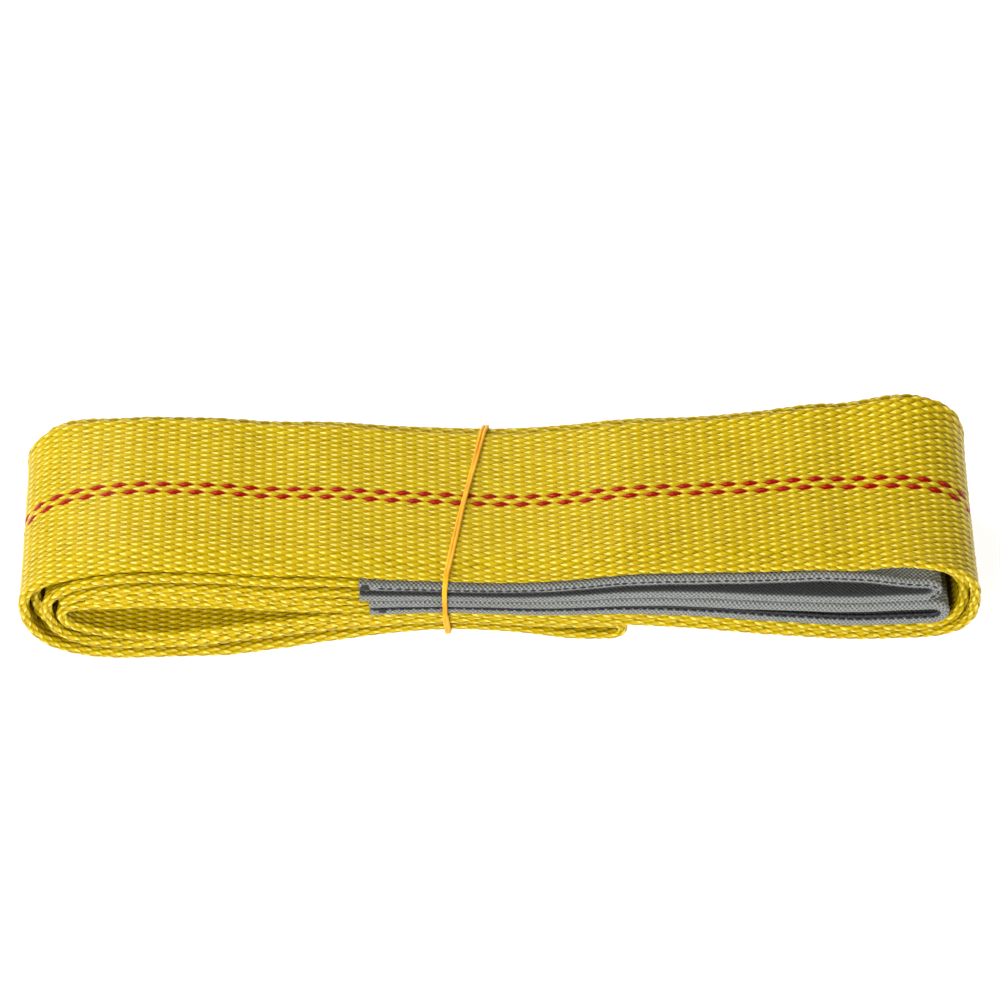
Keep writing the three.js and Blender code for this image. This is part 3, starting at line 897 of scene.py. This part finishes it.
def sleeve_section(half, seam_side):
    """Outer outline of a sleeve: the near rim from face A down, then face B, the far rim and face A.

    Gives the points, their normals, how far the seam stands out, how much of the inside of the eye shows,
    and the length round to each point. The seam is on the near rim, towards face A where seam_side is
    above 0 and towards face B, the inside of the eye, where it is below 0."""
    flat = SLEEVE_WIDTH / 2 - half
    angles = np.linspace(0.5, -0.5, RIM_POINTS) * np.pi
    far_angles = angles[::-2]
    near_across = -flat - half * squared(np.cos(angles), RIM_SQUARENESS)
    near = np.stack([near_across, half * squared(np.sin(angles), RIM_SQUARENESS)], 1)
    far_normals = np.stack([np.cos(far_angles), np.sin(far_angles)], 1)

    def face(side, count):
        across = np.linspace(side * flat, -side * flat, count + 2)[1:-1]
        return np.stack([across, np.full(count, side * half)], 1)

    points = np.concatenate([near, face(-1, FACE_B_POINTS), (flat, 0) + half * far_normals,
                             face(1, FACE_A_POINTS)])
    normals = np.concatenate([np.stack([-np.cos(angles), np.sin(angles)], 1),
                              np.tile((0.0, -1.0), (FACE_B_POINTS, 1)), far_normals,
                              np.tile((0.0, 1.0), (FACE_A_POINTS, 1))])
    heights = np.sin(angles)
    seam = np.zeros(len(points))
    seam[:RIM_POINTS] = SEAM_STEP * smooth((heights - seam_side) / SEAM_EDGE + 0.5) * (heights < LAP_TOP)
    seam[-FACE_A_POINTS:] = SEAM_STEP * LAP_ON_FACE
    # How strongly each point is darkened by the painted shade inside the eye
    inside = smooth((-normals[:, 1] - EYE_SHADE_FROM) / EYE_SHADE_OVER)
    steps = np.hypot(*np.diff(points, axis=0, append=points[:1]).T)
    v = np.concatenate([[0.0], np.cumsum(steps)[:-1]])
    return points, normals, seam, inside, v, steps.sum()


def with_lips(rings, share):
    """Rings of a sleeve with its first and last one drawn in, where the fabric shows its thickness."""
    first, last = rings[:1] * share, rings[-1:] * share
    return np.concatenate([first, first, rings, last, last])


def build_sleeve(name, node, eye_in, eye_out, start_x, seam_side, seed):
    """A sleeve round both legs and the turn of an eye. Gives the lengths at which it starts and ends."""
    s_from, s_to = length_at(eye_in, start_x), length_at(eye_out, start_x)
    s = np.linspace(s_from, s_to, round((s_to - s_from) / SLEEVE_STEP) + 1)
    x = route.at(s)[0][:, None]
    full_half = WEB_THICKNESS / 2 + SLEEVE_REACH
    half = thickness_at(x) / 2 + SLEEVE_REACH
    points, normals, seam, inside, v, around = sleeve_section(full_half, seam_side)
    section_across, section_height = points.T
    normal_across, normal_height = normals.T
    proud = ripple(s[:, None], v, seed) + seam - RIM_FULLNESS * (1 - np.abs(normal_across))
    across = section_across + normal_across * proud
    height = section_height * (half / full_half) + normal_height * proud
    height = height - droop_at(s[:, None], x, section_across)
    s_all = np.concatenate([[s_from + LIP_IN, s_from], s, [s_to, s_to - LIP_IN]])
    across = with_lips(across, 1 - 2 * SLEEVE_WALL / SLEEVE_WIDTH)
    height = with_lips(height, 1 - SLEEVE_WALL / full_half)
    # The inside attribute carries the painted shade of the eye's inside to the fabric's colour
    mesh = tube_mesh(
        name, beside_route(s_all, across, height), len(v),
        (s_all, v, around), {"inside": np.tile(inside, len(s_all))})
    # The section runs round the other way than the web's, so its faces are turned outward
    mesh.flip_normals()
    place(name, mesh, grey_fabric, node)
    return s_from, s_to


# Stitches along the seam, and a thick black thread along the crease inside the eye, which is partly the
# thread that binds the fabric's edge there and partly painted shade of the crease
STITCH_RINGS = 6
STITCH_SIDES = 8
STITCH_PITCH = 2.1
STITCH_LENGTH = 1.55
STITCH_LENGTHS = (0.85, 1.1)
STITCH_RADIUS = 0.28
STITCH_PROUD = 0.16
STITCH_SCATTER = 0.15
SIDE_SCATTER = 0.03
SEAM_MARGIN = 1.6
SEAM_SEED = 10
# The crease thread is made thick and unbroken, as painted shade of the crease
CREASE_SIDE = -0.9
CREASE_RADIUS = 0.55
CREASE_AHEAD = 0.4
CREASE_PROUD = -0.05
CREASE_LENGTH = STITCH_PITCH + 0.5

# Locking stitches, side by side, near an open end of a sleeve
KNOT_SPREAD = 0.32
KNOT_PROUD = 0.2
KNOT_LENGTH = 2.6
KNOT_RADIUS = 0.34
UPPER_KNOT_FROM_END = 1.4
LOWER_KNOT_FROM_END = 3.2


def stitch_shape():
    """A rounded thread along x, 1 long and of radius 1, and the points round each of its faces."""
    share = np.linspace(-1, 1, STITCH_RINGS)
    radius = np.sqrt(np.clip(1 - share**4, 0.06, 1))
    angle = np.arange(STITCH_SIDES) / STITCH_SIDES * 2 * np.pi
    out, aside = (np.outer(radius, wave(angle)).ravel() for wave in (np.cos, np.sin))
    points = np.stack([np.repeat(share / 2, STITCH_SIDES), out, aside], 1)
    quads, _, _ = tube_quads(STITCH_RINGS, STITCH_SIDES)
    ring = np.arange(STITCH_SIDES)
    loops = np.concatenate([quads.ravel(), ring[::-1], (STITCH_RINGS - 1) * STITCH_SIDES + ring])
    return points, loops, [4] * len(quads) + [STITCH_SIDES] * 2


def stitches(name, places, node):
    """Many stitches in one mesh. Each place is a middle, the axes along, out and aside, length and radius."""
    shape, loops, sizes = stitch_shape()
    points = [
        middle + shape[:, :1] * along * length + (shape[:, 1:2] * out + shape[:, 2:] * aside) * radius
        for middle, along, out, aside, length, radius in places]
    every_loop = np.concatenate([k * len(shape) + loops for k in range(len(places))])
    mesh = new_mesh(name, np.concatenate(points) * MM, every_loop, sizes * len(places))
    place(name, mesh, black_thread, node)


def rim_point(s, side, proud):
    """A place on a sleeve's near rim, side being its height as a share of the rim's: middle and axes."""
    x, z, drift, nx, nz = (float(value) for value in route.at(s))
    half = float(thickness_at(x)) / 2 + SLEEVE_REACH
    angle = math.asin(max(-1.0, min(1.0, side)))
    reach = SLEEVE_WIDTH / 2 - half + (half + proud) * math.cos(angle)
    height = (half + proud) * math.sin(angle) - float(droop_at(s, x, -reach))
    px, py = x + nx * height, drift - reach
    middle = np.array([px, py + SHIFT_Y, float(settle(px, py, z + nz * height))])
    along = np.array([-nz, 0.0, nx])
    out = np.array([nx * math.sin(angle), -math.cos(angle), nz * math.sin(angle)])
    return middle, along, out, np.cross(along, out)


def build_seam(name, node, s_from, s_to, seam_side, knot_at):
    rng = np.random.default_rng(SEAM_SEED)
    places = []
    first = s_from + SEAM_MARGIN
    for k in range(int((s_to - first - SEAM_MARGIN) / STITCH_PITCH)):
        s = first + k * STITCH_PITCH + rng.uniform(-STITCH_SCATTER, STITCH_SCATTER)
        side = seam_side + rng.uniform(-SIDE_SCATTER, SIDE_SCATTER)
        length = STITCH_LENGTH * rng.uniform(*STITCH_LENGTHS)
        places.append((*rim_point(s, side, STITCH_PROUD), length, STITCH_RADIUS))
        # Thick black thread in the crease: partly binding thread, partly painted shade
        crease = rim_point(s + CREASE_AHEAD, CREASE_SIDE, CREASE_PROUD)
        places.append((*crease, CREASE_LENGTH, CREASE_RADIUS))
    for spread in (-KNOT_SPREAD, 0.0, KNOT_SPREAD):
        places.append((*rim_point(knot_at, seam_side + spread, KNOT_PROUD), KNOT_LENGTH, KNOT_RADIUS))
    stitches(name, places, node)


def build_eyes():
    """Both sleeves, and the seam of each from its open end to the turn of its eye."""
    upper, lower = "eye_sleeve_upper", "eye_sleeve_lower"
    _, upper_end = build_sleeve(
        "sleeve_upper", upper, "upper_tail", "upper_body", UPPER_SLEEVE_X, UPPER_SEAM, seed=3)
    lower_start, _ = build_sleeve(
        "sleeve_lower", lower, "lower_body", "lower_tail", LOWER_SLEEVE_X, LOWER_SEAM, seed=4)
    upper_start, lower_end = route.starts["upper_eye_turn"], route.ends["lower_eye_turn"]
    build_seam("seam_upper", upper, upper_start, upper_end, UPPER_SEAM, upper_end - UPPER_KNOT_FROM_END)
    build_seam("seam_lower", lower, lower_start, lower_end, LOWER_SEAM, lower_start + LOWER_KNOT_FROM_END)


build_eyes()

# Rubber band, wound twice: two strands side by side, spread a little more in the far half
BAND_X = -8.4
BAND_SLANT = 0.2
BAND_CLEARANCE = 0.15
BAND_STATIONS = 420
CORNER_STATIONS = 9
TOP_CLEARANCE = 0.1
STRAND_WIDTH = 0.85
STRAND_THICKNESS = 0.8
STRAND_SIDES = 12
STRAND_SQUARENESS = 0.7
STRAND_SPREAD_NEAR = 0.27
STRAND_SPREAD_FAR = 0.37
SPREAD_FROM = -6.0
SPREAD_OVER = 22.0
STRAND_WANDER = 0.12
WANDER_LENGTH = 41.0


def band_corners():
    """Corners of the section that the band goes round, as y and z, from the near side under and round."""
    edge = WEB_WIDTH / 2
    far_edge = edge + COVER_DRIFT
    near_edge = edge - EYE_DRIFT + (SLEEVE_WIDTH - WEB_WIDTH) / 2

    def corner(y, name, side, extra):
        x = BAND_X + BAND_SLANT * y
        z = layers_at(x)[name] + side * (thickness_at(x) / 2 + extra)
        return y, float(settle(x, y, z))

    return [
        corner(-near_edge, "lower_body", -1, SLEEVE_REACH),
        corner(-edge, "under_outer", -1, 0),
        corner(edge, "under_outer", -1, 0),
        corner(far_edge, "under_inner", -1, 0),
        corner(far_edge, "top_inner", 1, 0),
        corner(edge, "top_outer", 1, 0),
        corner(0.0, "top_outer", 1, TOP_CLEARANCE),
        corner(-edge, "top_outer", 1, 0),
        corner(-near_edge, "upper_body", 1, SLEEVE_REACH),
    ]


def band_loop():
    """The band's centre line: set off from the bundle, with round corners, evenly spaced."""
    corners = band_corners()
    distance = BAND_CLEARANCE + STRAND_THICKNESS / 2
    points = []
    for i, (y, z) in enumerate(corners):
        before, after = corners[i - 1], corners[(i + 1) % len(corners)]
        first = math.atan2(z - before[1], y - before[0]) - math.pi / 2
        last = math.atan2(after[1] - z, after[0] - y) - math.pi / 2
        sweep = (last - first + math.pi) % (2 * math.pi) - math.pi
        for angle in first + sweep * np.linspace(0, 1, CORNER_STATIONS):
            points.append((y + distance * math.cos(angle), z + distance * math.sin(angle)))
    closed = np.array([*points, points[0]])
    length = np.concatenate([[0.0], np.cumsum(np.hypot(*np.diff(closed, axis=0).T))])
    even = np.linspace(0, length[-1], BAND_STATIONS, endpoint=False)
    return np.stack([np.interp(even, length, column) for column in closed.T], 1), even


def build_strand(name, side):
    loop, length = band_loop()
    heading = np.roll(loop, -1, axis=0) - np.roll(loop, 1, axis=0)
    heading /= np.hypot(*heading.T)[:, None]
    far = smooth((loop[:, 0] - SPREAD_FROM) / SPREAD_OVER)
    spread = STRAND_SPREAD_NEAR + (STRAND_SPREAD_FAR - STRAND_SPREAD_NEAR) * far
    wander = STRAND_WANDER * np.sin(2 * np.pi * length / WANDER_LENGTH + side)
    angle = np.arange(STRAND_SIDES) / STRAND_SIDES * 2 * np.pi
    aside = STRAND_WIDTH / 2 * squared(np.cos(angle), STRAND_SQUARENESS)
    out = STRAND_THICKNESS / 2 * squared(np.sin(angle), STRAND_SQUARENESS)
    y = loop[:, :1] + heading[:, 1:] * out
    z = loop[:, 1:] - heading[:, :1] * out
    x = BAND_X + BAND_SLANT * y + (side * spread + wander)[:, None] + aside
    points = to_metres(x, y, z)
    closed = np.concatenate([points, points[:STRAND_SIDES]])
    u = np.append(length, length[-1] + length[1])
    mesh = tube_mesh(name, closed, STRAND_SIDES, (u, angle, 2 * np.pi), {})
    place(name, mesh, amber_rubber, "rubber_band")


build_strand("rubber_band_first_turn", -1)
build_strand("rubber_band_second_turn", 1)

# Camera, in metres: in front of the near edges and above, turned a little about its own axis
VIEW_ELEVATION = 47.0
VIEW_DISTANCE = 1.10
VIEW_LENS = 155.5
VIEW_ROLL = 1.65
VIEW_TARGET = Vector((0.0006, 0.005, 0.0224))

# Soft studio lights, in metres and watts: name, place, height aimed at, size and power
LIGHTS = [
    ("key", (-0.48, 0.82, 0.74), 0.02, (0.2, 0.2), 11.6),
    ("far_right", (0.62, 0.8, 0.7), 0.02, (0.2, 0.2), 4.0),
    ("front", (-0.4, -0.98, 0.64), 0.015, (0.5, 0.3), 16.5),
    ("right", (1.05, -0.6, 0.4), 0.02, (0.4, 0.3), 4.0),
    ("left", (-1.1, -0.1, 0.5), 0.02, (0.4, 0.3), 6.5),
]

# Pale floor and studio
FLOOR_REACH = 4.0
FLOOR_DROP = 0.0002
FLOOR_GREY = 0.5
FLOOR_GLOW = 0.75
STUDIO_GLOW = 0.12
WHITE = (1.0, 1.0, 1.0, 1.0)


def build_camera():
    data = bpy.data.cameras.new("photo_camera")
    data.lens = VIEW_LENS
    data.sensor_width = 36.0
    data.clip_start = 0.05
    data.clip_end = 20.0
    camera = bpy.data.objects.new("photo_camera", data)
    bpy.context.scene.collection.objects.link(camera)
    lift = math.radians(VIEW_ELEVATION)
    back = Vector((0.0, -math.cos(lift), math.sin(lift)))
    camera.location = VIEW_TARGET + back * VIEW_DISTANCE
    aim = (-back).to_track_quat("-Z", "Y")
    camera.rotation_mode = "QUATERNION"
    camera.rotation_quaternion = aim @ Euler((0.0, 0.0, -math.radians(VIEW_ROLL))).to_quaternion()
    bpy.context.scene.camera = camera


def build_light(name, place_at, aim_height, size, power):
    data = bpy.data.lights.new(name, "AREA")
    data.shape = "RECTANGLE"
    data.size, data.size_y = size
    data.energy = power
    light = bpy.data.objects.new(name, data)
    bpy.context.scene.collection.objects.link(light)
    light.location = place_at
    beam = Vector((0.0, 0.0, aim_height)) - Vector(place_at)
    light.rotation_euler = beam.to_track_quat("-Z", "Y").to_euler()


def build_floor():
    g = Graph("pale_floor")
    g.set(Base_Color=(FLOOR_GREY, FLOOR_GREY, FLOOR_GREY, 1.0), Roughness=0.9, Emission_Color=WHITE,
          Emission_Strength=FLOOR_GLOW)
    corners = [(x * FLOOR_REACH, y * FLOOR_REACH, 0) for x, y in ((-1, -1), (1, -1), (1, 1), (-1, 1))]
    mesh = bpy.data.meshes.new("floor")
    mesh.from_pydata(corners, [], [(0, 1, 2, 3)])
    mesh.materials.append(g.material)
    floor = bpy.data.objects.new("floor", mesh)
    floor.location.z = -FLOOR_DROP
    bpy.context.scene.collection.objects.link(floor)


def build_studio():
    world = bpy.data.worlds.new("studio")
    world.use_nodes = True
    background = world.node_tree.nodes["Background"]
    background.inputs["Color"].default_value = WHITE
    background.inputs["Strength"].default_value = STUDIO_GLOW
    bpy.context.scene.world = world
    bpy.context.scene.view_settings.view_transform = "Standard"


build_camera()
build_floor()
build_studio()
for light in LIGHTS:
    build_light(*light)
